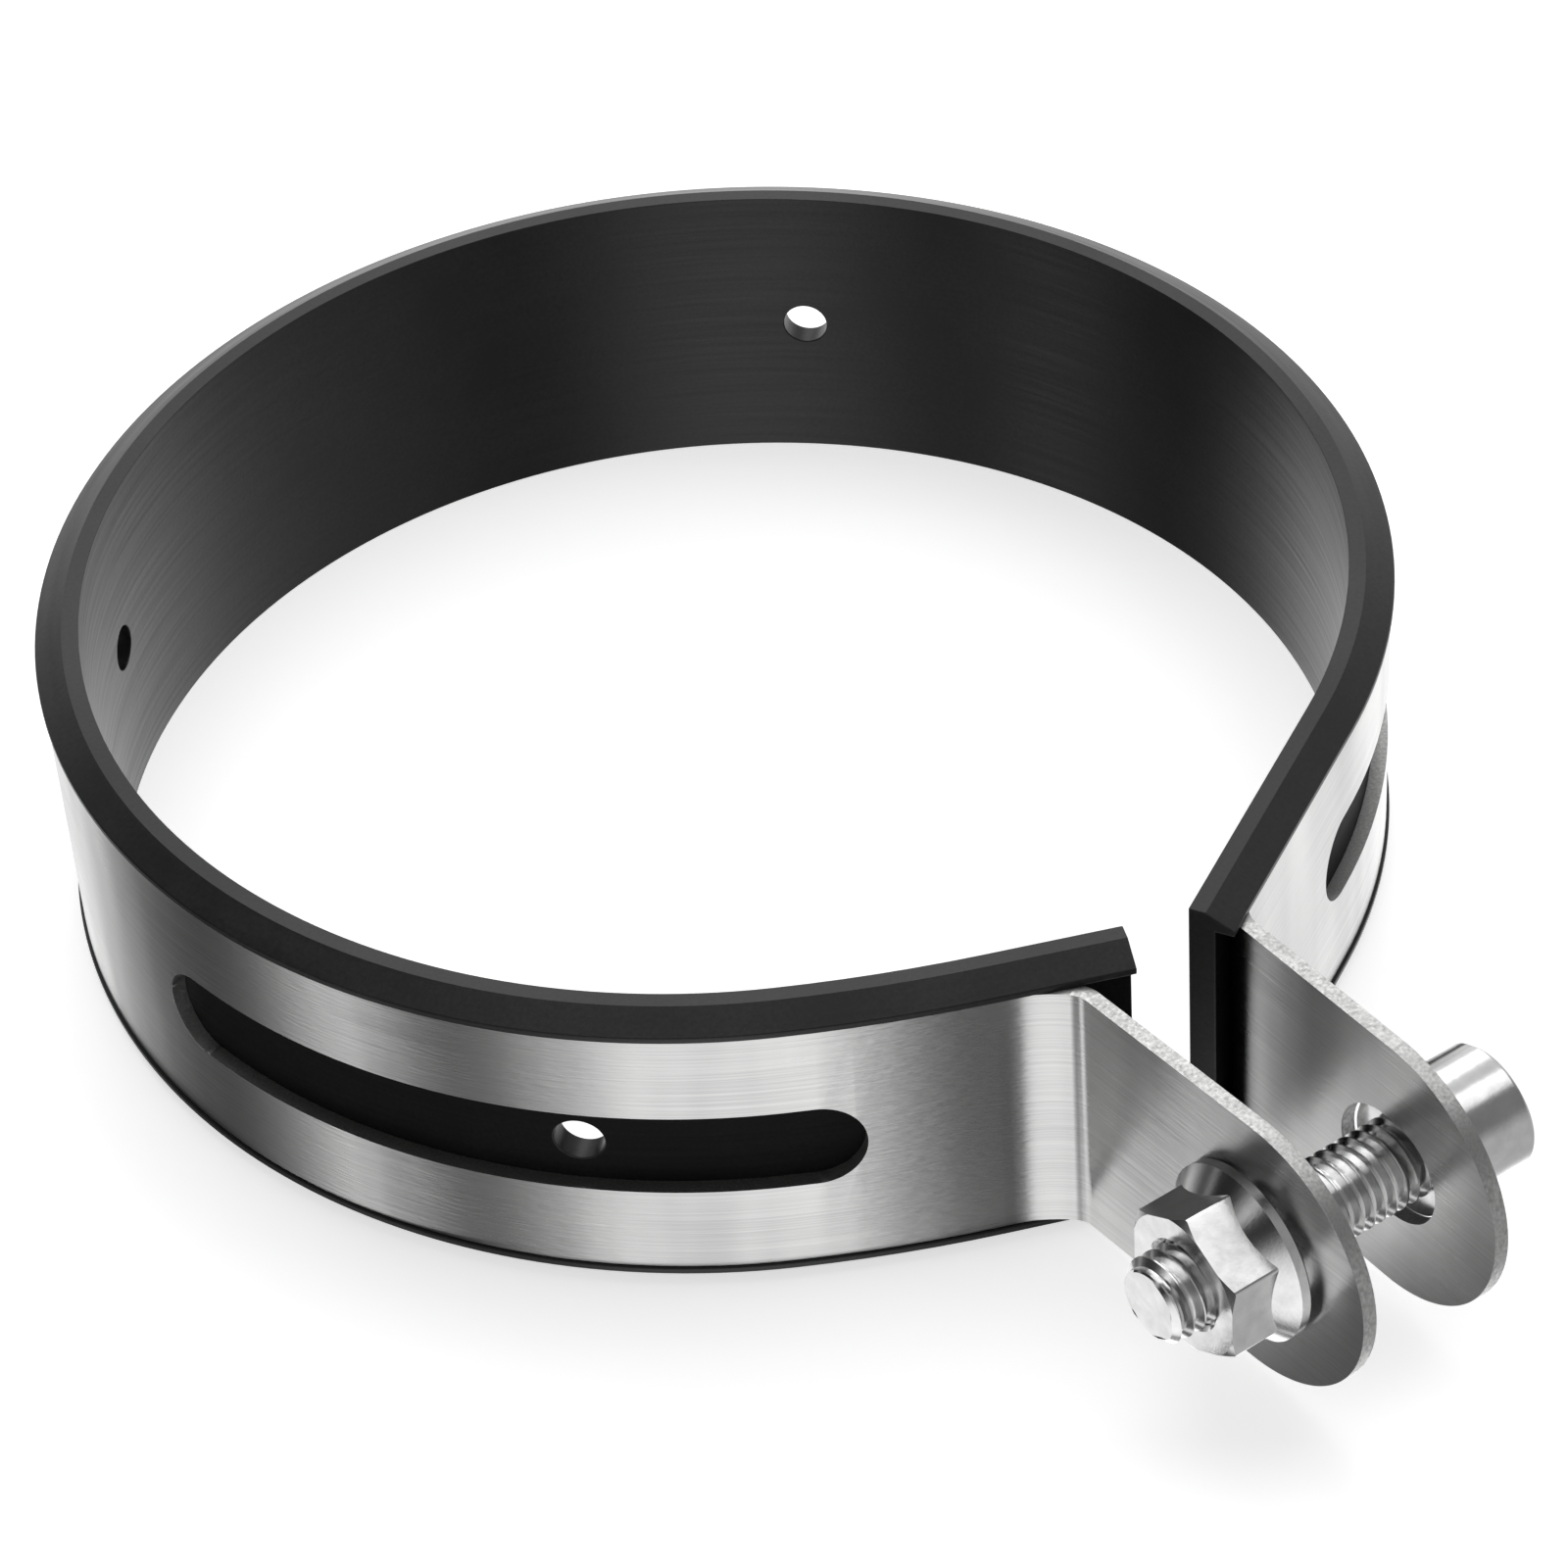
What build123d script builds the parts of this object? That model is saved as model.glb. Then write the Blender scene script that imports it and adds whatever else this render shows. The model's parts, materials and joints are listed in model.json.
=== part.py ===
"""Rubber-lined strap clamp for a round pipe or tube.

Frame: the origin is the middle of the pipe bore, +Z runs along the pipe, the ears point along -Y
and the screw lies along X, with its head at +X and its nut at -X. All sizes are in millimetres.

The strap is one springy strip of sheet and the liner is one strip of rubber. Each is drawn as two
halves that part at the back, where the strip bends when the screw closes the clamp.
"""
import os
from math import asin, cos, degrees, radians, sin, tan

from build123d import *

# Pipe bore and the path of the strip round it
bore_radius = 60.0
right_wrap_angle = 151.0  # how far each half wraps round the bore, from the back
left_wrap_angle = 149.5
left_ease_angle = 8.0  # the left half then eases off the bore on a wider curve
ease_radius = 132.0
flex_gap = 0.3  # between the two halves at the back

# Rubber liner: a channel that holds the strap by both edges
liner_base = 2.5
liner_width = 31.5
right_liner_end_x = 3.4
left_liner_end_x = 2.3
lip_reach = 4.3  # from the bore to the lip's nose
lip_flat = 1.6  # width of the flat top, before it falls to the nose
lip_fall = 0.5
nose_height = 0.9
vent_radius = 2.25
vent_angles = (44.0, 132.8)

# Stainless strap
strap_thickness = 1.5
strap_width = 27.5
lip_clearance = 0.05
slot_width = 9.0
back_slot = (3.5, 66.5)  # overall, in degrees round the bore from the back
front_slot = (92.8, 156.0)  # its end is measured as if the wrap went on

# Ears
right_ear_x = 6.75  # from the middle of the bore to the ear's inner face
left_ear_x = 7.35
ear_bend_radius = 2.5  # on the inside of the bend
left_soft_angle = 24.0  # the left ear's bend starts with this much on a wider curve
soft_bend_radius = 12.5
ear_end_y = -89.5  # middle of the rounded end and of the screw's hole
ear_hole_height = 11.0
ear_hole_length = 12.2
left_ear_toe = 2.5  # the nut's ear leans in, towards the other, by this angle

# M8 cap screw
thread_radius = 4.0
thread_chamfer = 0.7
tip_x = -19.8
head_radius = 6.1
head_end_x = 18.6
head_rounding = 0.6
key_size = 6.0
key_depth = 4.5
seat_gap = 0.05

# M8 flange nut
nut_size = 13.0  # across flats
nut_height = 7.1
flange_radius = 8.5
flange_rim = 1.1
flange_height = 3.0
flange_edge = 0.2
nut_chamfer_radius = 6.7
nut_bore_clearance = 0.05
nut_countersink = 0.4
nut_gap = 0.1

strap_inside = bore_radius + liner_base
strap_outside = strap_inside + strap_thickness
strap_middle = (strap_inside + strap_outside) / 2
ear_tip_y = ear_end_y - strap_width / 2
flange_contact_y = ear_end_y + flange_radius  # where the nut's flange meets the leaning ear


def on_wrap(radius, angle):
    """Point at a radius and an angle clockwise from the back."""
    return Vector(radius * sin(radians(angle)), radius * cos(radians(angle)))


def bore_normal(angle):
    """Outward direction at an angle clockwise from the back."""
    return on_wrap(1, angle)


def run_direction(angle):
    """Direction of a straight run that follows on from this angle round the bore."""
    return Vector(cos(radians(angle)), -sin(radians(angle)))


def run_start(radius, wrap_angle, ease_angle):
    """Where a line at this radius has finished its wrap and its ease."""
    ease = ease_radius + radius - bore_radius
    turn = bore_normal(wrap_angle + ease_angle) - bore_normal(wrap_angle)
    return on_wrap(radius, wrap_angle) + ease * turn


def strip_outline(near, far, start_angle, end_angle, run_length=0):
    """Plan of a strip between two radii, wrapped from one angle to another and then straight."""
    with BuildSketch() as outline:
        with BuildLine():
            ends = []
            for radius in (near, far):
                arc = CenterArc((0, 0), radius, 90 - start_angle, start_angle - end_angle)
                start = arc @ 0
                end = arc @ 1
                if run_length:
                    end = end + run_length * run_direction(end_angle)
                    Line(arc @ 1, end)
                ends.append((start, end))
            Line(ends[0][0], ends[1][0])
            Line(ends[0][1], ends[1][1])
        make_face()
    return outline.sketch


def run_length_to_ear(side):
    """Length of the straight run that puts the ear's inner face at its place."""
    wrap_angle, ease_angle, soft_angle, ear_x, toe = side
    start = run_start(strap_inside, wrap_angle, ease_angle)
    run_angle = wrap_angle + ease_angle
    run_normal = bore_normal(run_angle)
    soft_normal = bore_normal(run_angle - soft_angle)
    bend_shift = (soft_bend_radius + strap_thickness) * (run_normal - soft_normal)
    bend_shift += (ear_bend_radius + strap_thickness) * (soft_normal - bore_normal(90 + toe))
    lean = tan(radians(toe))
    reach = ear_x - start.X - bend_shift.X
    reach -= (flange_contact_y - start.Y - bend_shift.Y) * lean
    direction = run_direction(run_angle)
    return reach / (direction.X - direction.Y * lean)


def strap_outline(side):
    """Plan of one half of the strap: the wrap, the ease, the run, the bend and the ear."""
    wrap_angle, ease_angle, soft_angle, ear_x, toe = side
    run_length = run_length_to_ear(side)
    run_angle = wrap_angle + ease_angle
    ear_direction = Vector(-sin(radians(toe)), -cos(radians(toe)))
    bend_angle = run_angle - soft_angle - 90 - toe
    with BuildSketch() as outline:
        with BuildLine():
            ends = []
            for radius, growth in ((strap_inside, strap_thickness), (strap_outside, 0)):
                path = CenterArc((0, 0), radius, 90, -wrap_angle)
                back = path @ 0
                if ease_angle:
                    path = JernArc(path @ 1, path % 1, ease_radius + radius - bore_radius, -ease_angle)
                path = Line(path @ 1, path @ 1 + run_length * run_direction(run_angle))
                if soft_angle:
                    path = JernArc(path @ 1, path % 1, soft_bend_radius + growth, soft_angle)
                path = JernArc(path @ 1, path % 1, ear_bend_radius + growth, bend_angle)
                length = ((path @ 1).Y - ear_tip_y + 1) / cos(radians(toe))
                path = Line(path @ 1, path @ 1 + length * ear_direction)
                ends.append((back, path @ 1))
            Line(ends[0][0], ends[1][0])
            Line(ends[0][1], ends[1][1])
        make_face()
    return outline.sketch


def slot_punch(start_angle, end_angle, run_length=0):
    """The metal taken out for a round-ended slot, with its ends' centres at the given places."""
    near, far = strap_inside - 1, strap_outside + 1
    start = on_wrap(strap_middle, start_angle)
    end = on_wrap(strap_middle, end_angle) + run_length * run_direction(end_angle)
    with BuildPart() as punch:
        extrude(
            strip_outline(near, far, start_angle, end_angle, run_length),
            amount=slot_width / 2,
            both=True,
        )
        for centre, angle in ((start, start_angle), (end, end_angle)):
            with BuildSketch(Plane(origin=centre, z_dir=bore_normal(angle))):
                Circle(slot_width / 2)
            extrude(amount=strap_thickness, both=True)
    return punch.part


def make_strap_half(side):
    """One half of the strap, at +X."""
    wrap_angle, ease_angle, soft_angle, ear_x, toe = side
    slot_end = degrees(asin(slot_width / 2 / strap_middle))
    with BuildPart() as half:
        extrude(strap_outline(side), amount=strap_width / 2, both=True)
        for first, last in (back_slot, front_slot):
            first, last = first + slot_end, last - slot_end
            wrapped = min(last, wrap_angle)
            run = strap_middle * radians(last - wrapped)
            add(slot_punch(first, wrapped, run), mode=Mode.SUBTRACT)
        # Round the end of the ear, then punch the screw's hole, long enough for the ear to swing
        with BuildSketch(Plane.YZ):
            with Locations((ear_end_y - strap_width, 0)):
                Rectangle(2 * strap_width, strap_width + 2)
            with Locations((ear_end_y, 0)):
                Circle(strap_width / 2, mode=Mode.SUBTRACT)
        extrude(amount=2 * ear_x, mode=Mode.SUBTRACT)
        with BuildSketch(Plane.YZ):
            with Locations((ear_end_y, 0)):
                SlotOverall(ear_hole_length, ear_hole_height)
        extrude(amount=2 * ear_x, mode=Mode.SUBTRACT)
        # Keep the half at +X, clear of the other one at the back
        split(bisect_by=Plane.YZ.offset(flex_gap / 2), keep=Keep.TOP)
    return half.part


def make_liner_half(wrap_angle, ease_angle, end_x):
    """One half of the liner, at +X: a channel section swept round the bore and along the run."""
    half_width = liner_width / 2
    lip_inside = strap_width / 2 + lip_clearance
    direction = run_direction(wrap_angle + ease_angle)
    run_length = (run_start(bore_radius, wrap_angle, ease_angle).X - end_x) / -direction.X
    with BuildPart() as half:
        with BuildLine():
            path = CenterArc((0, 0), bore_radius, 90, -wrap_angle)
            if ease_angle:
                path = JernArc(path @ 1, path % 1, ease_radius, -ease_angle)
            Line(path @ 1, path @ 1 + run_length * direction)
        with BuildSketch(Plane.YZ):
            with BuildLine():
                Polyline(
                    (bore_radius, 0),
                    (bore_radius, half_width),
                    (bore_radius + lip_flat, half_width),
                    (bore_radius + lip_reach - lip_fall / 2, half_width - lip_fall),
                    (bore_radius + lip_reach, half_width - nose_height),
                    (bore_radius + lip_reach, lip_inside),
                    (strap_inside, lip_inside),
                    (strap_inside, 0),
                )
                mirror(about=Plane.XZ)
            make_face()
        sweep()
        for angle in vent_angles:
            centre = on_wrap(bore_radius, angle)
            with BuildSketch(Plane(origin=centre, z_dir=bore_normal(angle))):
                Circle(vent_radius)
            extrude(amount=2 * liner_base, both=True, mode=Mode.SUBTRACT)
        # Keep the half at +X, clear of the other one at the back
        split(bisect_by=Plane.YZ.offset(flex_gap / 2), keep=Keep.TOP)
    return half.part


# The strap: each side's wrap, ease, softer bend, ear face and toe
right_side = (right_wrap_angle, 0, 0, right_ear_x, 0)
left_side = (left_wrap_angle, left_ease_angle, left_soft_angle, left_ear_x, left_ear_toe)
with BuildPart() as strap_right:
    add(make_strap_half(right_side))
strap_right.part.label = "strap_right_half"

with BuildPart() as strap_left:
    mirror(make_strap_half(left_side), about=Plane.YZ)
strap_left.part.label = "strap_left_half"

# The liner
with BuildPart() as liner_right:
    add(make_liner_half(right_wrap_angle, 0, right_liner_end_x))
liner_right.part.label = "liner_right_half"

with BuildPart() as liner_left:
    mirror(make_liner_half(left_wrap_angle, left_ease_angle, left_liner_end_x), about=Plane.YZ)
liner_left.part.label = "liner_left_half"

# The cap screw: its head seats on the right ear and its thread runs out past the left one
head_seat_x = right_ear_x + strap_thickness + seat_gap
with BuildPart() as cap_screw:
    with BuildSketch(Plane.YZ.offset(head_seat_x)):
        with Locations((ear_end_y, 0)):
            Circle(head_radius)
    extrude(amount=head_end_x - head_seat_x)
    fillet(cap_screw.edges().filter_by(GeomType.CIRCLE).sort_by(Axis.X)[-1], head_rounding)
    with BuildSketch(Plane.YZ.offset(head_end_x)):
        with Locations((ear_end_y, 0)):
            RegularPolygon(key_size / 2, 6, major_radius=False)
    extrude(amount=-key_depth, mode=Mode.SUBTRACT)
    with BuildSketch(Plane.YZ.offset(tip_x)):
        with Locations((ear_end_y, 0)):
            Circle(thread_radius)
    extrude(amount=head_seat_x - tip_x)
    chamfer(cap_screw.edges().filter_by(GeomType.CIRCLE).sort_by(Axis.X)[0], thread_chamfer)
cap_screw.part.label = "cap_screw"

# The flange nut: a hexagon on a conical flange, with its outer corners turned off
nut_seat_x = -(left_ear_x + strap_thickness + nut_gap)
nut_axis_plane = Plane((nut_seat_x, ear_end_y, 0))
nut_axis = Axis((0, ear_end_y, 0), (1, 0, 0))
corner_radius = nut_size / 2 / cos(radians(30))
corner_drop = (corner_radius - nut_chamfer_radius) * tan(radians(30))
with BuildPart() as flange_nut:
    with BuildSketch(Plane.YZ.offset(nut_seat_x)):
        with Locations((ear_end_y, 0)):
            RegularPolygon(nut_size / 2, 6, major_radius=False, rotation=30)
    extrude(amount=-nut_height)
    with BuildSketch(nut_axis_plane):
        with BuildLine():
            Polyline(
                (0, 0),
                (0, corner_radius + 1),
                (corner_drop - nut_height, corner_radius),
                (-nut_height, nut_chamfer_radius),
                (-nut_height, 0),
                (0, 0),
            )
        make_face()
    revolve(axis=nut_axis, mode=Mode.INTERSECT)
    with BuildSketch(nut_axis_plane):
        with BuildLine():
            Polyline(
                (0, 0),
                (0, flange_radius - flange_edge),
                (-flange_edge, flange_radius),
                (-flange_rim, flange_radius),
                (-flange_height, nut_size / 2 - flange_edge),
                (-flange_height, 0),
                (0, 0),
            )
        make_face()
    revolve(axis=nut_axis)
    with BuildSketch(Plane.YZ.offset(nut_seat_x)):
        with Locations((ear_end_y, 0)):
            Circle(thread_radius + nut_bore_clearance)
    extrude(amount=-nut_height, mode=Mode.SUBTRACT)
    chamfer(flange_nut.edges().filter_by(GeomType.CIRCLE).group_by(Axis.X)[0].sort_by(SortBy.RADIUS)[0],
            nut_countersink)
flange_nut.part.label = "flange_nut"

os.makedirs("parts", exist_ok=True)
for piece in (strap_right, strap_left, liner_right, liner_left, cap_screw, flange_nut):
    export_step(piece.part, f"parts/{piece.part.label}.step")
    print(piece.part.label, f"{piece.part.volume:.1f} mm3")
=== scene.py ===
"""Rubber-lined strap clamp: the looks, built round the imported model.

Lengths are named in millimetres and turned into metres with mm. Strips are modelled flat, with X
along the strip, Y outwards and Z across it, and are then wrapped round the bore.
"""
import json
from math import ceil, cos, degrees, pi, radians, sin, tan

import bpy
from mathutils import Matrix, Vector


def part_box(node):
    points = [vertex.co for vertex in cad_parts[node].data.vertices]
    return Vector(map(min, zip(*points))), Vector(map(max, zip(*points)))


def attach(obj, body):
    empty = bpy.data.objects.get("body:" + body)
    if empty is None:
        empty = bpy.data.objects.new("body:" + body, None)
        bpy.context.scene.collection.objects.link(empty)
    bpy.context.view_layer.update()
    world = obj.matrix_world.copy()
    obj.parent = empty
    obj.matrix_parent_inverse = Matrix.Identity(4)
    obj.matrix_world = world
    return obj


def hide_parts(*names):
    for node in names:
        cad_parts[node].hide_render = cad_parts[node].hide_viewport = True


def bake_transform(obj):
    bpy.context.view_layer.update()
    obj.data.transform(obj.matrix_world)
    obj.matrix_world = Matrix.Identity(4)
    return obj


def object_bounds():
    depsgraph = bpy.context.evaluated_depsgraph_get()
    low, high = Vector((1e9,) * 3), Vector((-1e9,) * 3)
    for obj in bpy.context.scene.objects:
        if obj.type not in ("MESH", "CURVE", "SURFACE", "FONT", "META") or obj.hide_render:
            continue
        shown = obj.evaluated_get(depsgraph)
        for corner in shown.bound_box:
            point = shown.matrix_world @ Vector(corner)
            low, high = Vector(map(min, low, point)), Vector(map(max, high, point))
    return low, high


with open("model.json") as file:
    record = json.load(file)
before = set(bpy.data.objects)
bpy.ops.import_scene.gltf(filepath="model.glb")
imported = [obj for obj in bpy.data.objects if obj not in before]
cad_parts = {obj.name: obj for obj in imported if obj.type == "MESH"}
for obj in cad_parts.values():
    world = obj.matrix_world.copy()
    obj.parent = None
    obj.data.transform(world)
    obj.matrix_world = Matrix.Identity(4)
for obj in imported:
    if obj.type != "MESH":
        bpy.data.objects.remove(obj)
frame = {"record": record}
cad_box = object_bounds()
mm = 0.001

# ---------------------------------------------------------------- sizes, from the frame
mounts = {mount["name"]: mount for mount in frame["record"]["mounts"]}
strap_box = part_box("strap_right_half")
liner_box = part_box("liner_right_half")
screw_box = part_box("cap_screw")
nut_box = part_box("flange_nut")

bore_radius = mounts["pipe_bore"]["dims"]["r_mm"]
liner_half_width = liner_box[1].z / mm
strap_half_width = strap_box[1].z / mm
strap_outside = strap_box[1].x / mm
right_ear_x = mounts["ear_inner_face"]["pos_m"][0] / mm  # the ears' inner faces
screw_tip_x = screw_box[0].x / mm
head_end_x = screw_box[1].x / mm
head_radius = screw_box[1].z / mm
screw_y = (screw_box[0].y + screw_box[1].y) / 2 / mm
nut_seat_x = nut_box[1].x / mm
nut_end_x = nut_box[0].x / mm
flange_radius = (nut_box[1].y - nut_box[0].y) / 2 / mm
nut_gap = 0.1  # between the nut and the left ear

# ---------------------------------------------------------------- sizes of the strap
strap_thickness = 1.5
strap_middle = strap_outside - strap_thickness / 2
strap_inside = strap_outside - strap_thickness
left_ear_x = -nut_seat_x - nut_gap - strap_thickness
ease_radius = 132.0  # of the bore's line, where the left side eases off the bore
soft_bend_radius = 12.5 + strap_thickness / 2  # bends are measured along the middle of the strip
bend_radius = 2.5 + strap_thickness / 2
# Each side: its wrap from the back, its ease and its softer bend, in degrees, then its ear's x, and its
# ear's toe in degrees
right_side = (151.0, 0.0, 0.0, right_ear_x, 0.0)
left_side = (149.5, 8.0, 24.0, left_ear_x, 2.5)
slot_width = 9.0
ear_hole_height = 11.0
ear_hole_length = 12.2
back_slot = (3.5, 66.5)  # overall, in degrees from the back
front_slot = (92.8, 156.0)  # its end is measured as if the wrap went on
edge_break = 0.14
strap_edge_angle = 50  # in degrees: edges sharper than this are broken
strap_smoothing = 40  # in degrees: edges sharper than this aren't smoothed over

# ---------------------------------------------------------------- sizes of the liner
liner_base = strap_inside - bore_radius
lip_reach = 4.3
lip_flat = 1.6
lip_fall = 0.5
nose_height = 0.9
right_liner_end_x = 3.4
left_liner_end_x = 2.3
vent_radius = 2.25
vent_angles = (44.0, 132.8)
lip_clearance = 0.05  # between the strap's edges and the lips
liner_edge_break = 0.1
liner_edge_angle = 30
liner_smoothing = 8

# ---------------------------------------------------------------- sizes of the fasteners
thread_radius = 4.0
thread_pitch = 1.25
thread_depth = 0.68
tip_chamfer = 0.75
head_gap = 0.05  # between the head and the right ear
head_chamfer = 0.25
head_rounding = 0.6
head_overlap = 0.5  # how far the thread runs into the head
key_size = 6.0
key_depth = 4.5
nut_size = 13.0
nut_chamfer_radius = 6.7
nut_rounding = 0.25
nut_bore_radius = 4.05
countersink = 0.4
flange_rim = 1.1
flange_height = 3.0
flange_chamfer = 0.2
overcut = 0.2  # how far a turning tool goes past the piece
fastener_smoothing = 30

# ---------------------------------------------------------------- how finely pieces are cut
column_angle = 1.5  # degrees of the ring between two cuts across a strip
bend_column_angle = 4.0
fewest_columns = 4
spin_steps = 72
thread_steps = 40
slot_segments = 20  # in each quarter turn of a slot's or hole's ends
ear_segments = 40  # in each quarter turn of an ear's end
rim_segments = 5
corner_segments = 3
vent_sides = 48
same_place = 0.001  # vertices nearer than this are one
sliver = 0.003  # edges shorter than this are left by joining the screw's head, and are merged
wide_sliver = 0.02  # the same where the nut's cone, corners and turned edge meet


# ---------------------------------------------------------------- modelling helpers
def only(piece):
    """Select one piece alone and make it active."""
    bpy.ops.object.select_all(action="DESELECT")
    piece.select_set(True)
    bpy.context.view_layer.objects.active = piece


def settle(name):
    """Name the primitive just added and move its place, turn and size into its mesh."""
    piece = bpy.context.object
    only(piece)
    bpy.ops.object.transform_apply(location=True, rotation=True, scale=True)
    piece.name = piece.data.name = name
    return piece


def add_bar(name, low, high):
    """A cube primitive that fills the box between two corners, in millimetres."""
    low, high = Vector(low), Vector(high)
    bpy.ops.object.select_all(action="DESELECT")
    bpy.ops.mesh.primitive_cube_add(size=1, location=(low + high) / 2 * mm, scale=(high - low) * mm)
    return settle(name)


def edit_all(piece):
    """Open one piece in edit mode, with all of it selected."""
    only(piece)
    bpy.ops.object.mode_set(mode="EDIT")
    bpy.ops.mesh.select_all(action="SELECT")


def merge_close(piece, distance):
    """Merge vertices nearer than a distance in millimetres, so that no sliver faces are left."""
    edit_all(piece)
    bpy.ops.mesh.remove_doubles(threshold=distance * mm)
    bpy.ops.object.mode_set(mode="OBJECT")


def bevel_edges(piece, wanted, radius, segments):
    """Round the edges that a test of their two ends picks, to a radius in millimetres."""
    only(piece)
    bpy.ops.object.mode_set(mode="EDIT")
    bpy.ops.mesh.select_mode(type="EDGE")
    bpy.ops.mesh.select_all(action="DESELECT")
    bpy.ops.object.mode_set(mode="OBJECT")
    vertices = piece.data.vertices
    for edge in piece.data.edges:
        edge.select = wanted(*(vertices[index].co for index in edge.vertices))
    bpy.ops.object.mode_set(mode="EDIT")
    bpy.ops.mesh.bevel(offset=radius * mm, segments=segments, affect="EDGES", clamp_overlap=False)
    bpy.ops.object.mode_set(mode="OBJECT")


def round_edges(piece, axis, radius, segments):
    """Round every edge that runs along an axis."""
    bevel_edges(piece, lambda start, end: abs((end - start).normalized()[axis]) > 0.999, radius, segments)
    merge_close(piece, same_place)


def round_rim(piece, x, rim_radius, rounding):
    """Round the rim of a turned piece, at x."""
    def on_rim(point):
        from_axis = Vector((point.y / mm - screw_y, point.z / mm)).length
        return abs(point.x / mm - x) < 0.001 and abs(from_axis - rim_radius) < 0.01

    bevel_edges(piece, lambda start, end: on_rim(start) and on_rim(end), rounding, rim_segments)


def apply_modifier(piece, kind, **settings):
    """Add a modifier with its settings and apply it."""
    only(piece)
    modifier = piece.modifiers.new(kind.lower(), kind)
    for name, value in settings.items():
        setattr(modifier, name, value)
    bpy.ops.object.modifier_apply(modifier=modifier.name)


def combine(piece, tool, operation="DIFFERENCE"):
    """Cut a tool out of a piece, keep what they share, or join the two."""
    apply_modifier(piece, "BOOLEAN", object=tool, operation=operation, solver="EXACT")
    bpy.data.objects.remove(tool)


def slice_away(piece, point, normal):
    """Cut a piece with a plane, throw away the side that the normal points to and close the cut."""
    edit_all(piece)
    bpy.ops.mesh.bisect(plane_co=Vector(point) * mm, plane_no=normal, use_fill=True, clear_outer=True)
    bpy.ops.object.mode_set(mode="OBJECT")


def add_columns(piece, places):
    """Cut a flat strip across at each place along X, so that it can curve there."""
    only(piece)
    bpy.ops.object.mode_set(mode="EDIT")
    for place in places:
        bpy.ops.mesh.select_all(action="SELECT")
        bpy.ops.mesh.bisect(plane_co=(place * mm, 0, 0), plane_no=(1, 0, 0))
    bpy.ops.object.mode_set(mode="OBJECT")


def add_line(name, points):
    """A line through some points, in millimetres, to be turned or screwed into a solid."""
    mesh = bpy.data.meshes.new(name)
    mesh.from_pydata([Vector(point) * mm for point in points],
                     [(i, i + 1) for i in range(len(points) - 1)], [])
    piece = bpy.data.objects.new(name, mesh)
    bpy.context.scene.collection.objects.link(piece)
    return piece


def close_up(piece):
    """Close the seams and poles of a turned piece and point its faces outwards."""
    edit_all(piece)
    bpy.ops.mesh.remove_doubles(threshold=same_place * mm)
    bpy.ops.mesh.normals_make_consistent(inside=False)
    bpy.ops.object.mode_set(mode="OBJECT")


def spin_outline(name, outline):
    """Solid of revolution about the screw's axis, from points (x, radius) in millimetres."""
    piece = add_line(name, [(x, screw_y + radius, 0) for x, radius in outline])
    edit_all(piece)
    bpy.ops.mesh.spin(steps=spin_steps, angle=2 * pi, center=(0, screw_y * mm, 0), axis=(1, 0, 0))
    bpy.ops.object.mode_set(mode="OBJECT")
    close_up(piece)
    return piece


def add_hexagon(name, across_flats, start_x, end_x):
    """A hexagonal bar about the screw's axis, with a corner towards +Y."""
    bpy.ops.object.select_all(action="DESELECT")
    bpy.ops.mesh.primitive_cylinder_add(vertices=6, radius=across_flats / 2 / cos(radians(30)) * mm,
                                        depth=(end_x - start_x) * mm,
                                        location=((start_x + end_x) / 2 * mm, screw_y * mm, 0),
                                        rotation=(0, pi / 2, 0))
    return settle(name)


def smooth(piece, angle):
    """Smooth shading, except over edges sharper than an angle in degrees."""
    only(piece)
    bpy.ops.object.shade_smooth_by_angle(angle=radians(angle))
    apply_modifier(piece, "WEIGHTED_NORMAL", keep_sharp=True)


# ---------------------------------------------------------------- the path round the bore
def walk(segments, radius, distance):
    """Place and outward direction after a distance along (length, clockwise turn) segments."""
    x, y, heading = 0.0, radius, 0.0
    for length, turn in segments:
        step = min(distance, length) if (length, turn) != segments[-1] else distance
        if turn:
            curve = turn / length
            x += (sin(heading) - sin(heading - curve * step)) / curve
            y += (cos(heading - curve * step) - cos(heading)) / curve
            heading -= curve * step
        else:
            x += step * cos(heading)
            y += step * sin(heading)
        distance -= step
        if distance <= 0:
            break
    return Vector((x, y, 0)), Vector((-sin(heading), cos(heading), 0))


def wrap(piece, right, left, radius):
    """Wrap a flat strip round the bore, keeping its flat X and Z, in millimetres, as its UV map."""
    mesh = piece.data
    flat = mesh.uv_layers.new(name="flat strip")
    for loop in mesh.loops:
        corner = mesh.vertices[loop.vertex_index].co
        flat.data[loop.index].uv = (corner.x / mm, corner.z / mm)
    for vertex in mesh.vertices:
        side = 1 if vertex.co.x >= 0 else -1
        place, outward = walk(right if side > 0 else left, radius, abs(vertex.co.x) / mm)
        place += outward * vertex.co.y / mm
        vertex.co = Vector((side * place.x, place.y, vertex.co.z / mm)) * mm
    return piece


def column_places(right, left):
    """Where to cut a flat strip across, from its two sides' segments: closer where it bends more."""
    places = {0.0}
    for side, segments in ((1, right), (-1, left)):
        start = 0.0
        for length, turn in segments:
            angle = column_angle if turn > 0 else bend_column_angle
            count = max(ceil(degrees(abs(turn)) / angle), fewest_columns)
            places.update(side * (start + length * (i + 1) / count) for i in range(count))
            start += length
    return sorted(places)


# ---------------------------------------------------------------- materials
def linear(hex_colour):
    """An sRGB hex colour as linear RGBA."""
    channels = [int(hex_colour[i:i + 2], 16) / 255 for i in (1, 3, 5)]
    curve = [c / 12.92 if c <= 0.04045 else ((c + 0.055) / 1.055) ** 2.4 for c in channels]
    return (*curve, 1.0)


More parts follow.
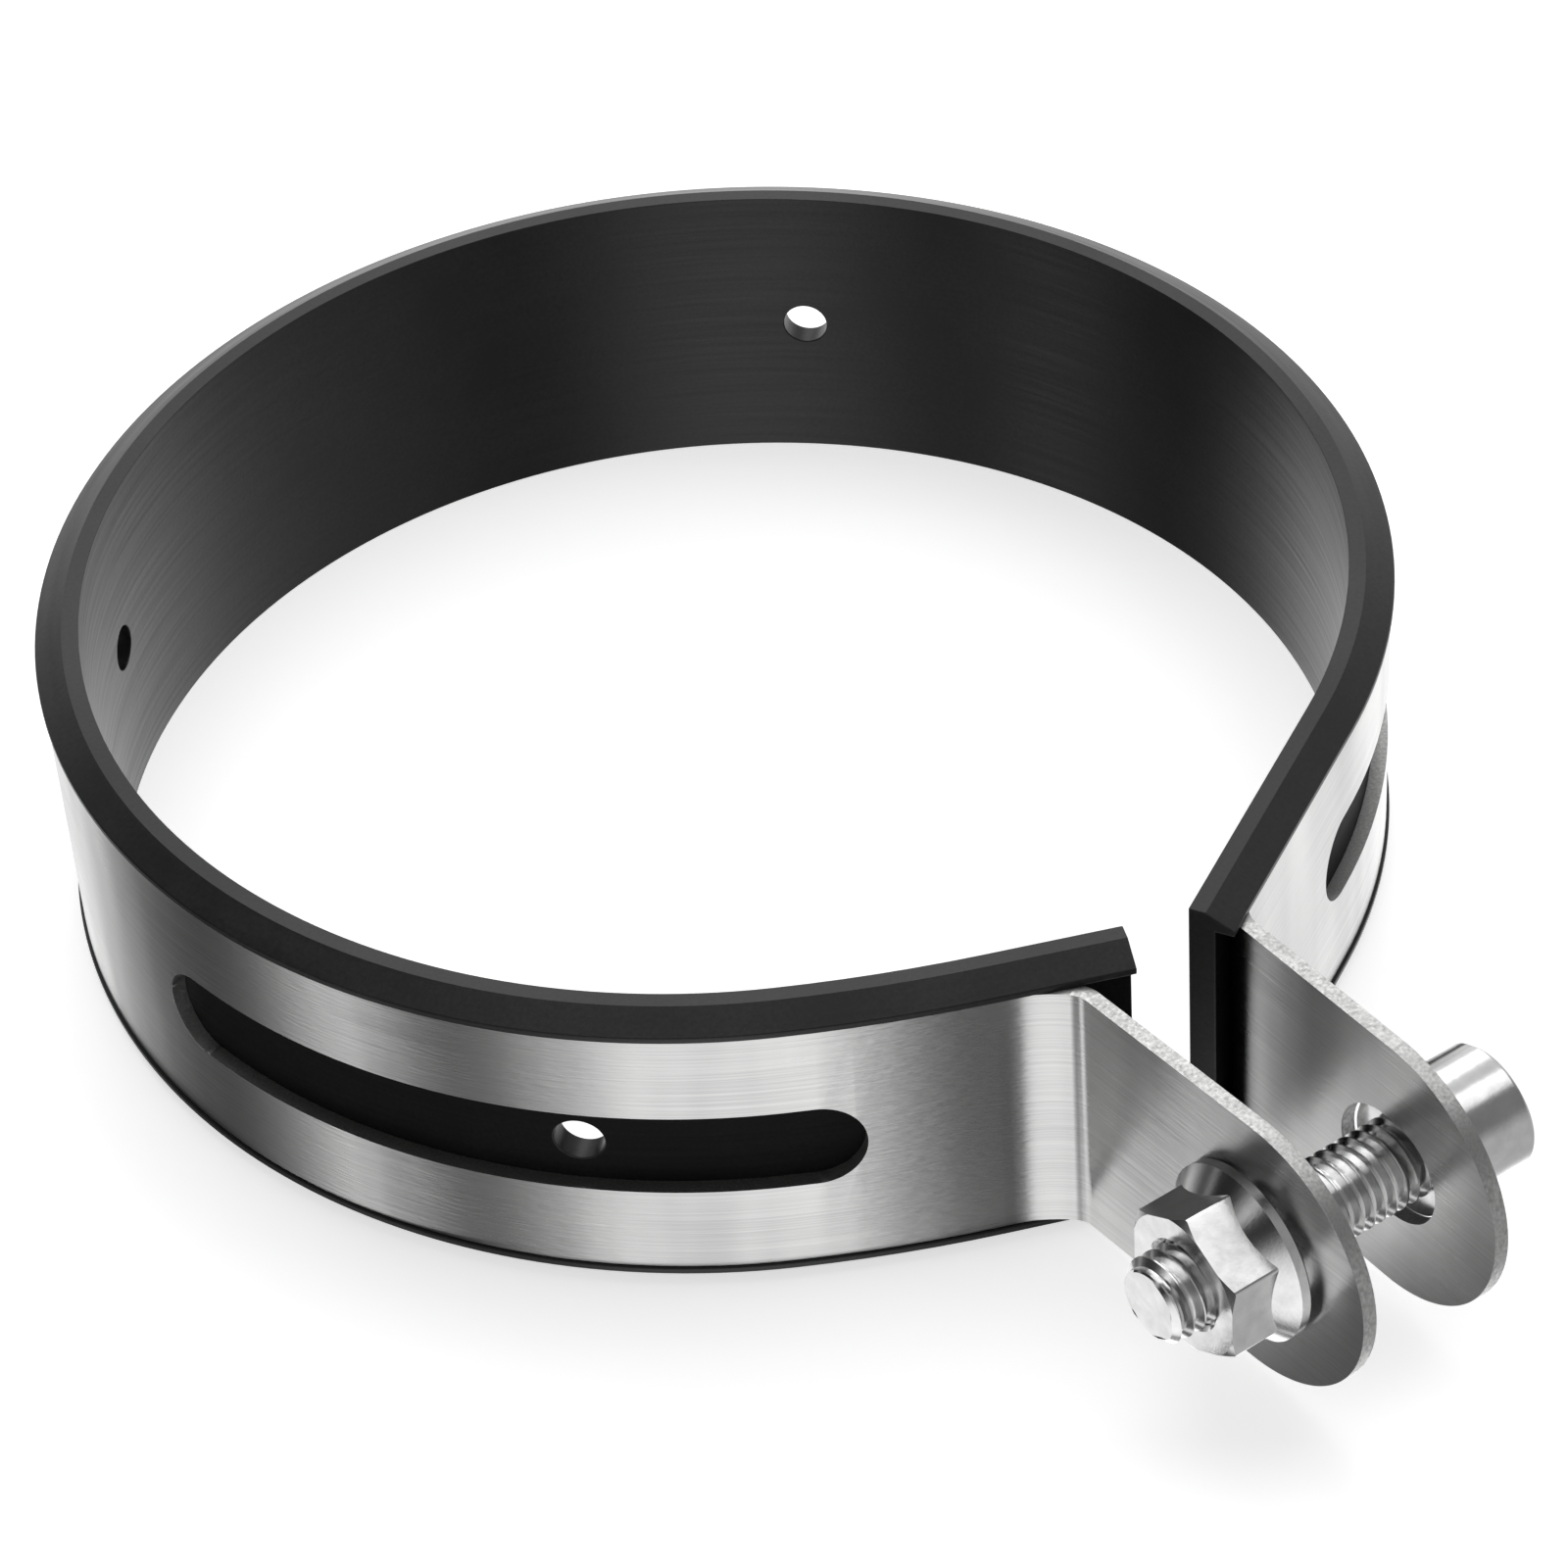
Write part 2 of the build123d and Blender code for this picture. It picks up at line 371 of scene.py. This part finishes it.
def node(tree, kind, inputs=(), **settings):
    """Add a node with its settings; an input takes a value, an output, or a node for its first output."""
    made = tree.nodes.new(kind)
    for name, value in settings.items():
        setattr(made, name, value)
    for name, value in dict(inputs).items():
        if isinstance(value, bpy.types.Node):
            value = value.outputs[0]
        if isinstance(value, bpy.types.NodeSocket):
            tree.links.new(value, made.inputs[name])
        else:
            made.inputs[name].default_value = value
    return made


def new_material(name):
    """A named node material with an empty tree."""
    material = bpy.data.materials.new(name)
    material.use_nodes = True
    material.node_tree.nodes.clear()
    return material, material.node_tree


def finish_material(tree, inputs):
    """Add the surface shader with its inputs, and the material's output."""
    shader = node(tree, "ShaderNodeBsdfPrincipled", inputs)
    node(tree, "ShaderNodeOutputMaterial", {"Surface": shader})


def grain(tree, vector, size, detail=2.0, offset=0.0):
    """An uneven pattern whose grains have this size, in the vector's units, along each axis."""
    place = node(tree, "ShaderNodeMapping", {"Vector": vector, "Scale": [1 / length for length in size],
                                             "Location": (offset, offset, 0)})
    return node(tree, "ShaderNodeTexNoise", {"Vector": place, "Scale": 1.0, "Detail": detail,
                                             "Roughness": 0.55})


def shade(tree, pattern, low, high, dark, light):
    """A colour that goes from dark to light as a pattern goes from low to high."""
    share = node(tree, "ShaderNodeMapRange", {"Value": pattern, "From Min": low, "From Max": high})
    # A Mix node's colours are its inputs 6 and 7 and its output 2
    mixed = node(tree, "ShaderNodeMix", {0: share, 6: linear(dark), 7: linear(light)}, data_type="RGBA")
    return mixed.outputs[2]


# Grain sizes on the flat strip, in millimetres along it and across it; its map has no third axis
grit_lines = (30.0, 0.16, 1.0)  # much finer in life, and drawn coarse enough to show
belt_pressure = (9.0, 60.0, 1.0)
line_wavers = (2.6, 0.3, 1.0)
die_lines = (30.0, 0.5, 1.0)
# Grain sizes on an object, in metres
torn_grain = (0.3 * mm, 0.3 * mm, 0.5 * mm)
dust_specks = (0.45 * mm, 0.45 * mm, 0.45 * mm)
dust_blotches = (9 * mm, 9 * mm, 9 * mm)
plate_clouds = (2.2 * mm, 2.2 * mm, 2.2 * mm)
plate_marks = (0.35 * mm, 0.35 * mm, 0.35 * mm)


def make_brushed_stainless():
    """Austenitic stainless strip, belt-brushed lengthways: long fine lines that pull highlights
    out across the strip, with slow changes of grey where the belt pressed harder."""
    material, tree = new_material("stainless strip, belt brushed lengthways")
    flat = node(tree, "ShaderNodeUVMap", uv_map="flat strip")
    lines = grain(tree, flat, grit_lines, 3.0)
    pressed = grain(tree, flat, belt_pressure, 2.0, 7.0)
    wavers = grain(tree, flat, line_wavers, 2.0, 3.0)
    grey = node(tree, "ShaderNodeMath", {0: lines, 1: pressed}, operation="ADD")
    roughness = node(tree, "ShaderNodeMapRange", {"Value": grey, "From Min": 0.7, "From Max": 1.3,
                                                  "To Min": 0.34, "To Max": 0.27})
    # Each line wavers a little, which breaks the edge of a highlight into short dashes
    wavering = node(tree, "ShaderNodeBump", {"Height": wavers, "Strength": 0.5, "Distance": 0.05 * mm})
    bump = node(tree, "ShaderNodeBump", {"Height": lines, "Strength": 0.15, "Distance": 0.02 * mm,
                                         "Normal": wavering})
    finish_material(tree, {
        "Base Color": shade(tree, grey, 0.75, 1.25, "#b9b9b9", "#d0d0cf"),
        "Metallic": 1.0,
        "Roughness": roughness,
        "Anisotropic": 0.9,
        "Anisotropic Rotation": 0.25,
        "Tangent": node(tree, "ShaderNodeTangent", direction_type="UV_MAP", uv_map="flat strip"),
        "Normal": bump,
    })
    return material


def make_sheared_stainless():
    """The same strip where it was sheared and punched: a bright, torn and grainy band."""
    material, tree = new_material("stainless strip, sheared edge")
    place = node(tree, "ShaderNodeTexCoord").outputs["Object"]
    torn = grain(tree, place, torn_grain, 4.0)
    finish_material(tree, {
        "Base Color": shade(tree, torn, 0.3, 0.7, "#a9a9a8", "#cacac9"),
        "Metallic": 1.0,
        "Roughness": node(tree, "ShaderNodeMapRange", {"Value": torn, "From Min": 0.3, "From Max": 0.7,
                                                       "To Min": 0.55, "To Max": 0.32}),
        "Normal": node(tree, "ShaderNodeBump", {"Height": torn, "Strength": 0.2, "Distance": 0.08 * mm}),
    })
    return material


def make_rubber(name, dark, light, roughness, shine):
    """Extruded black EPDM with faint die lines and dust, made twice: satin, and a darker, duller copy for
    the channel's bottom, where it lies against the strip; its darker colour is painted shade for that recess."""
    material, tree = new_material(name)
    flat = node(tree, "ShaderNodeUVMap", uv_map="flat strip")
    place = node(tree, "ShaderNodeTexCoord").outputs["Object"]
    lines = grain(tree, flat, die_lines, 3.0)
    specks = grain(tree, place, dust_specks, 3.0)
    blotches = grain(tree, place, dust_blotches, 2.0)
    dust = node(tree, "ShaderNodeMath", {0: specks, 1: blotches}, operation="MULTIPLY")
    height = node(tree, "ShaderNodeMath", {0: lines, 1: specks}, operation="ADD")
    finish_material(tree, {
        "Base Color": shade(tree, dust, 0.15, 0.40, dark, light),
        "Roughness": node(tree, "ShaderNodeMapRange", {"Value": lines, "From Min": 0.3, "From Max": 0.7,
                                                       "To Min": roughness, "To Max": roughness + 0.1}),
        "IOR": 1.5,
        "Specular IOR Level": shine,
        "Normal": node(tree, "ShaderNodeBump", {"Height": height, "Strength": 0.3, "Distance": 0.03 * mm}),
    })
    return material


def make_zinc_plate():
    """Bright zinc plate over steel: close to a mirror, a little cloudy and uneven."""
    material, tree = new_material("steel, bright zinc plated")
    place = node(tree, "ShaderNodeTexCoord").outputs["Object"]
    clouds = grain(tree, place, plate_clouds, 3.0)
    marks = grain(tree, place, plate_marks, 3.0)
    finish_material(tree, {
        "Base Color": shade(tree, clouds, 0.3, 0.7, "#d2d2d2", "#e4e4e4"),
        "Metallic": 1.0,
        "Roughness": node(tree, "ShaderNodeMapRange", {"Value": clouds, "From Min": 0.3, "From Max": 0.7,
                                                       "To Min": 0.20, "To Max": 0.16}),
        "Normal": node(tree, "ShaderNodeBump", {"Height": marks, "Strength": 0.12, "Distance": 0.05 * mm}),
    })
    return material


# ---------------------------------------------------------------- the strap
def round_bore(radius, wrap_angle, ease_angle):
    """Segments that take a line at this radius round the bore and off it on a wider curve."""
    ease = ease_radius + radius - bore_radius
    curves = [(radius, radians(wrap_angle)), (ease, radians(ease_angle))]
    return [(curve_radius * turn, turn) for curve_radius, turn in curves if turn]


def path_length(segments):
    """How long some segments are together."""
    return sum(length for length, turn in segments)


def strap_path(wrap_angle, ease_angle, soft_angle, ear_x, toe):
    """One side's segments, and how far along it the ear's hole is."""
    ring = round_bore(strap_middle, wrap_angle, ease_angle)
    run_angle = wrap_angle + ease_angle
    last_angle = run_angle - soft_angle - 90 - toe
    curves = [(soft_bend_radius, radians(soft_angle)), (bend_radius, radians(last_angle))]
    bends = [(curve_radius * turn, -turn) for curve_radius, turn in curves if turn]
    # Lengthen the straight run until the ear's middle line passes where the nut and head meet it
    unshifted, _ = walk(ring + bends, strap_middle, path_length(ring + bends))
    lean = tan(radians(toe))
    wanted_x = ear_x + strap_thickness / 2 / cos(radians(toe))
    contact_y = screw_y + flange_radius
    reach = wanted_x - unshifted.x - (contact_y - unshifted.y) * lean
    run = (reach / (cos(radians(run_angle)) + sin(radians(run_angle)) * lean), 0)
    segments = [*ring, run, *bends]
    ear_start = path_length(segments)
    bend_end, _ = walk(segments, strap_middle, ear_start)
    hole = ear_start + (bend_end.y - screw_y) / cos(radians(toe))
    segments.append((2 * strap_half_width + hole - ear_start, 0))
    return segments, hole


def add_obround(name, start, end, height):
    """A round-ended punch across a flat strip, from start to end along X."""
    punch = add_bar(name, (start, -2 * strap_thickness, -height / 2), (end, 2 * strap_thickness, height / 2))
    round_edges(punch, 1, height / 2, slot_segments)
    return punch


def make_strap(surface, edge):
    """The whole strip: blanked flat, punched, then bent into the ring with its two ears."""
    right, right_hole = strap_path(*right_side)
    left, left_hole = strap_path(*left_side)
    half = strap_thickness / 2
    strap = add_bar("strap", (-left_hole - strap_half_width, -half, -strap_half_width),
                    (right_hole + strap_half_width, half, strap_half_width))
    round_edges(strap, 1, strap_half_width, ear_segments)
    for side, hole in ((1, right_hole), (-1, left_hole)):
        openings = [(strap_middle * radians(start), strap_middle * radians(end), slot_width)
                    for start, end in (back_slot, front_slot)]
        openings.append((hole - ear_hole_length / 2, hole + ear_hole_length / 2, ear_hole_height))
        for start, end, height in openings:
            low, high = sorted((side * start, side * end))
            combine(strap, add_obround("punch", low, high, height))
    apply_modifier(strap, "BEVEL", width=edge_break * mm, segments=2, limit_method="ANGLE",
                   angle_limit=radians(strap_edge_angle), harden_normals=False)
    add_columns(strap, column_places(right[:-1], left[:-1]))
    strap.data.materials.append(surface)
    strap.data.materials.append(edge)
    for face in strap.data.polygons:
        face.material_index = 0 if abs(face.normal.y) > 0.9 else 1
    wrap(strap, right, left, strap_middle)
    smooth(strap, strap_smoothing)
    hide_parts("strap_right_half", "strap_left_half")
    return strap


# ---------------------------------------------------------------- the liner
def make_liner(rubber, slot_shade_rubber):
    """One extruded channel with soft corners, punched for its vents and bent round the bore."""
    sides = []
    for side, end_x in ((right_side, right_liner_end_x), (left_side, left_liner_end_x)):
        wrap_angle, ease_angle = side[:2]
        ring = round_bore(bore_radius, wrap_angle, ease_angle)
        run_start, _ = walk(ring, bore_radius, path_length(ring))
        sides.append([*ring, ((run_start.x - end_x) / -cos(radians(wrap_angle + ease_angle)), 0)])
    right, left = sides
    right_end, left_end = path_length(right), path_length(left)
    width = liner_half_width
    liner = add_bar("liner", (-left_end, 0, -width), (right_end, lip_reach, width))
    lip_inside = strap_half_width + lip_clearance
    channel = add_bar("channel", (-left_end - 1, liner_base, -lip_inside),
                      (right_end + 1, lip_reach + 1, lip_inside))
    combine(liner, channel)
    facets = [((lip_flat, width), (lip_reach - lip_fall / 2, width - lip_fall)),
              ((lip_reach - lip_fall / 2, width - lip_fall), (lip_reach, width - nose_height))]
    for side in (1, -1):
        for (y1, z1), (y2, z2) in facets:
            slice_away(liner, (0, y1, side * z1), (0, z1 - z2, side * (y2 - y1)))
        for angle in vent_angles:
            bpy.ops.object.select_all(action="DESELECT")
            place = side * bore_radius * radians(angle)
            bpy.ops.mesh.primitive_cylinder_add(vertices=vent_sides, radius=vent_radius * mm,
                                                depth=4 * liner_base * mm,
                                                location=(place * mm, 0, 0), rotation=(pi / 2, 0, 0))
            combine(liner, settle("vent punch"))
    apply_modifier(liner, "BEVEL", width=liner_edge_break * mm, segments=2, limit_method="ANGLE",
                   angle_limit=radians(liner_edge_angle), harden_normals=False)
    add_columns(liner, column_places(right, left)[1:-1])
    liner.data.materials.append(rubber)
    liner.data.materials.append(slot_shade_rubber)
    # The channel's bottom gets the second, darker rubber: painted shade for the recess seen through the
    # strap's slots
    for face in liner.data.polygons:
        on_bottom = abs(face.center.y / mm - liner_base) < 0.01 and abs(face.center.z / mm) < lip_inside
        face.material_index = 1 if on_bottom and face.normal.y > 0.9 else 0
    wrap(liner, right, left, bore_radius)
    smooth(liner, liner_smoothing)
    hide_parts("liner_right_half", "liner_left_half")
    return liner


# ---------------------------------------------------------------- the screw and the nut
def make_thread(name, start_x, end_x):
    """Rolled right-hand thread about the screw's axis, closed at both ends."""
    crest, root = thread_pitch / 8, thread_pitch / 5
    flank = (thread_pitch - crest - root) / 2
    inner = thread_radius - thread_depth
    outline = [(0, inner), (root, inner), (root + flank, thread_radius),
               (root + flank + crest, thread_radius), (thread_pitch, inner)]
    turns = ceil((end_x - start_x) / thread_pitch) + 2
    thread = add_line(name, [(radius, 0, along) for along, radius in outline])
    apply_modifier(thread, "SCREW", angle=2 * pi, screw_offset=thread_pitch * mm, iterations=turns,
                   steps=thread_steps, render_steps=thread_steps, use_merge_vertices=True,
                   merge_threshold=same_place * mm)
    thread.data.transform(Matrix.Translation(Vector((start_x - thread_pitch, screw_y, 0)) * mm)
                          @ Matrix.Rotation(pi / 2, 4, "Y"))
    close_up(thread)
    slice_away(thread, (start_x, 0, 0), (-1, 0, 0))
    slice_away(thread, (end_x, 0, 0), (1, 0, 0))
    return thread


def make_screw(plate):
    """Cap screw: rolled thread with a chamfered tip, turned round head and a hexagon socket."""
    seat_x = right_ear_x + strap_thickness + head_gap
    screw = make_thread("threaded_cap_screw", screw_tip_x, seat_x + head_overlap)
    for vertex in screw.data.vertices:
        around = Vector((0, vertex.co.y - screw_y * mm, vertex.co.z))
        allowed = (thread_radius - tip_chamfer) * mm + (vertex.co.x - screw_tip_x * mm)
        if around.length > allowed:
            around *= allowed / around.length
            vertex.co = (vertex.co.x, screw_y * mm + around.y, around.z)
    head = spin_outline("head", [(seat_x, 0), (seat_x, head_radius - head_chamfer),
                                 (seat_x + head_chamfer, head_radius), (head_end_x, head_radius),
                                 (head_end_x, 0)])
    round_rim(head, head_end_x, head_radius, head_rounding)
    combine(head, add_hexagon("key punch", key_size, head_end_x - key_depth, head_end_x + key_depth))
    combine(screw, head, "UNION")
    merge_close(screw, sliver)
    screw.data.materials.clear()
    screw.data.materials.append(plate)
    smooth(screw, fastener_smoothing)
    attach(screw, "screw")
    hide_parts("cap_screw")
    return screw


def make_nut(plate):
    """Flange nut: a hexagon with turned-off corners on a conical flange, countersunk."""
    corner_radius = nut_size / 2 / cos(radians(30))
    nut = add_hexagon("hex_flange_nut", nut_size, nut_end_x, nut_seat_x)
    axis = Matrix.Translation((0, screw_y * mm, 0))
    nut.data.transform(axis @ Matrix.Rotation(radians(30), 4, "X") @ axis.inverted())
    round_edges(nut, 0, nut_rounding, corner_segments)
    drop = (corner_radius - nut_chamfer_radius) * tan(radians(30))
    turned = spin_outline("turned blank", [(nut_seat_x + 1, 0), (nut_seat_x + 1, corner_radius + 1),
                                           (nut_end_x + drop, corner_radius), (nut_end_x, nut_chamfer_radius),
                                           (nut_end_x, 0)])
    combine(nut, turned, "INTERSECT")
    flange_top_x = nut_seat_x - flange_height
    flange = spin_outline("flange", [(nut_seat_x, 0), (nut_seat_x, flange_radius - flange_chamfer),
                                     (nut_seat_x - flange_chamfer, flange_radius),
                                     (nut_seat_x - flange_rim, flange_radius),
                                     (flange_top_x, nut_size / 2 - flange_chamfer), (flange_top_x, 0)])
    combine(nut, flange, "UNION")
    mouth = nut_bore_radius + countersink + overcut
    tap = spin_outline("tap", [(nut_seat_x + 1, 0), (nut_seat_x + 1, nut_bore_radius),
                               (nut_end_x + countersink, nut_bore_radius), (nut_end_x - overcut, mouth),
                               (nut_end_x - overcut, 0)])
    combine(nut, tap)
    merge_close(nut, wide_sliver)
    nut.data.materials.clear()
    nut.data.materials.append(plate)
    smooth(nut, fastener_smoothing)
    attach(nut, "nut")
    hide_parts("flange_nut")
    return nut


# ---------------------------------------------------------------- the studio
view_azimuth = radians(-33.3)
view_elevation = radians(40.6)
view_roll = radians(-4.3)
view_distance = 508.2
view_aim = (1.0, -8.1, -7.4)
view_lens = 120.8
sensor_width = 36
table_radius = 3000
table_gap = 0.02  # below the lower edges of the liner's lips
card_place = (-27, -50, -35)
card_size = (52, 44)
# Each soft box's name, its place and side in metres, and its power in watts
soft_boxes = [
    ("overhead soft box", (0.1, 0.3, 1.1), 0.8, 3.0),
    ("front soft box", (0.46, -0.26, 0.96), 0.5, 0.9),
    ("back soft box", (0.42, 0.64, 0.65), 0.5, 1.0),
]
# How bright the room is all round, as (compass angle from +X, brightness): a wide white backdrop
# behind the clamp, one panel behind the camera, a narrow one on its left, and dark gaps between them
room = [(-180, 0.04), (-169, 0.06), (-160, 0.45), (-149, 1.20), (-137, 1.40), (-112, 1.35), (-107, 0.25),
        (-103, 0.05), (-82, 0.20), (-70, 0.50), (-30, 0.55), (-17, 0.8), (0, 1.5), (60, 1.8), (99, 1.7),
        (107, 0.35), (120, 0.22), (130, 0.04), (145, 0.05), (153, 0.15), (162, 0.80), (169, 1.55),
        (173, 1.15), (177, 0.15), (180, 0.04)]
room_scale = 2.5


def add_camera():
    """A long lens, looking down at the clamp from the ears' side."""
    back = Vector((sin(view_azimuth) * cos(view_elevation), -cos(view_azimuth) * cos(view_elevation),
                   sin(view_elevation)))
    right = Vector((cos(view_azimuth), sin(view_azimuth), 0))
    up = back.cross(right)
    rolled_right = cos(view_roll) * right + sin(view_roll) * up
    rolled_up = cos(view_roll) * up - sin(view_roll) * right
    camera = bpy.data.objects.new("camera", bpy.data.cameras.new("camera"))
    bpy.context.scene.collection.objects.link(camera)
    turn = Matrix((rolled_right, rolled_up, back)).transposed().to_4x4()
    camera.matrix_world = Matrix.Translation((Vector(view_aim) + back * view_distance) * mm) @ turn
    camera.data.sensor_width = sensor_width
    camera.data.lens = view_lens
    camera.data.clip_start = 0.01
    bpy.context.scene.camera = camera


def add_floor():
    """A plain pale table top that the clamp rests on, on the edges of its liner's lips."""
    bpy.ops.object.select_all(action="DESELECT")
    bpy.ops.mesh.primitive_circle_add(vertices=96, radius=table_radius * mm, fill_type="NGON",
                                      location=(0, 0, cad_box[0][2] - table_gap * mm))
    floor = settle("table_top")
    material, tree = new_material("white matt laminate")
    seen = node(tree, "ShaderNodeLightPath").outputs["Is Camera Ray"]
    finish_material(tree, {
        # White to look at, but a greyer bounce, so that the metal and rubber keep their contrast
        "Base Color": shade(tree, seen, 0, 1, "#b4b4b4", "#f6f6f6"),
        "Roughness": 0.9,
        "Specular IOR Level": 0.1,
        "Emission Color": linear("#ffffff"),
        "Emission Strength": node(tree, "ShaderNodeMapRange", {"Value": seen, "To Min": 0.0, "To Max": 0.62}),
    })
    floor.data.materials.append(material)
    floor.visible_glossy = False


def add_bounce_card():
    """A glowing card below the table's level, seen only in reflections: it brightens the ears."""
    bpy.ops.object.select_all(action="DESELECT")
    bpy.ops.mesh.primitive_plane_add(size=1, location=Vector(card_place) * mm)
    bpy.context.object.scale = (card_size[0] * mm, card_size[1] * mm, 1)
    card = settle("bounce_card")
    material, tree = new_material("white bounce card")
    finish_material(tree, {
        "Base Color": (0, 0, 0, 1),
        "Emission Color": linear("#ffffff"),
        "Emission Strength": 1.1,
    })
    material.cycles.emission_sampling = "NONE"
    card.data.materials.append(material)
    card.visible_camera = card.visible_diffuse = card.visible_shadow = False


def add_softbox(name, place, side, power):
    """A square soft light that faces the clamp."""
    light = bpy.data.lights.new(name, "AREA")
    light.shape = "SQUARE"
    light.size = side
    light.energy = power
    box = bpy.data.objects.new(name, light)
    bpy.context.scene.collection.objects.link(box)
    place = Vector(place)
    box.matrix_world = Matrix.Translation(place) @ place.to_track_quat("Z", "Y").to_matrix().to_4x4()


def add_studio():
    """The light of the room, which the camera sees as plain white, and the soft boxes."""
    world = bpy.data.worlds.new("studio")
    world.use_nodes = True
    bpy.context.scene.world = world
    tree = world.node_tree
    tree.nodes.clear()
    direction = node(tree, "ShaderNodeTexCoord").outputs["Generated"]
    part = node(tree, "ShaderNodeSeparateXYZ", {"Vector": direction}).outputs
    compass = node(tree, "ShaderNodeMath", {0: part["Y"], 1: part["X"]}, operation="ARCTAN2")
    turn = node(tree, "ShaderNodeMapRange", {"Value": compass, "From Min": -pi, "From Max": pi})
    panels = node(tree, "ShaderNodeValToRGB", {"Fac": turn})
    elements = panels.color_ramp.elements
    while len(elements) < len(room):
        elements.new(0.5)
    for element, (angle, brightness) in zip(elements, room):
        element.position = (angle + 180) / 360
        element.color = (*[brightness / room_scale] * 3, 1)
    # The panels are darker higher up
    fading = node(tree, "ShaderNodeMapRange", {"Value": part["Z"], "From Min": 0.0, "From Max": 0.3,
                                               "To Min": 1.0, "To Max": 0.4})
    seen = node(tree, "ShaderNodeLightPath").outputs["Is Camera Ray"]
    unseen = node(tree, "ShaderNodeMapRange", {"Value": seen, "To Min": room_scale, "To Max": 0.0})
    strength = node(tree, "ShaderNodeMath", {0: fading, 1: unseen}, operation="MULTIPLY")
    studio = node(tree, "ShaderNodeBackground", {"Color": panels, "Strength": strength})
    plain = node(tree, "ShaderNodeBackground", {"Color": (1, 1, 1, 1), "Strength": seen})
    both = node(tree, "ShaderNodeAddShader", {0: studio, 1: plain})
    node(tree, "ShaderNodeOutputWorld", {"Surface": both})
    for soft_box in soft_boxes:
        add_softbox(*soft_box)


# ---------------------------------------------------------------- the clamp
strap = make_strap(make_brushed_stainless(), make_sheared_stainless())
# The second rubber's darker colours and lower shine are painted shade for the channel's bottom under the
# slots
liner = make_liner(make_rubber("extruded EPDM rubber, satin black", "#0f0f0f", "#1f1f1f", 0.36, 0.4),
                   make_rubber("extruded EPDM rubber, darkened as painted slot shade", "#0b0b0b", "#161616", 0.55, 0.1))
plate = make_zinc_plate()
make_screw(plate)
make_nut(plate)

for strip in (strap, liner):
    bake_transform(strip)

add_floor()
add_bounce_card()
add_camera()
add_studio()
bpy.context.scene.view_settings.view_transform = "Standard"
